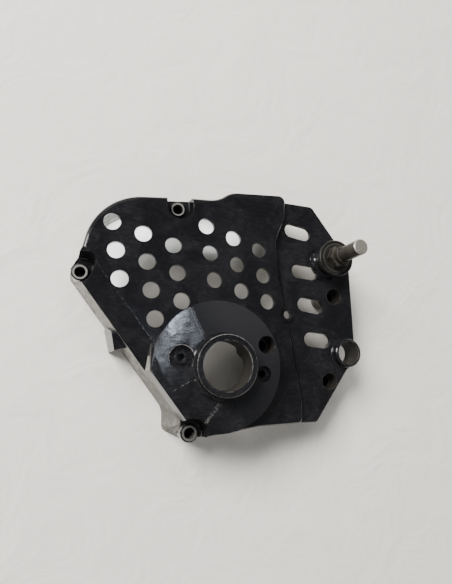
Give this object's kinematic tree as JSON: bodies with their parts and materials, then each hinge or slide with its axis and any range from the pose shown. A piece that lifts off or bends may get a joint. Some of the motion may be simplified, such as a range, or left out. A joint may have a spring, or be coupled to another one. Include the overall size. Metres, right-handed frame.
{
  "type": "gearbox output cover",
  "caption": "Black die-cast cover for a motorcycle's output sprocket: vented shell, raised collar, slotted side plate and a steel stud for the lever to turn on.",
  "frame": {"origin": "on the joint face, in the middle of the cover's length and width", "axes": "+Z away from the engine along the main bore, +X along the cover's length towards the slotted plate, +Y towards the edge with the top screw boss"},
  "size_m": [0.2074, 0.177, 0.0685],
  "materials": {
    "black_paint": "gloss",
    "greasy_steel": "satin",
    "black_washer": "satin"
  },
  "bodies": {
    "root": {"cover_casting": "black_paint", "pivot_stud": "greasy_steel", "flange_washer": "black_washer"}
  },
  "joints": []
}
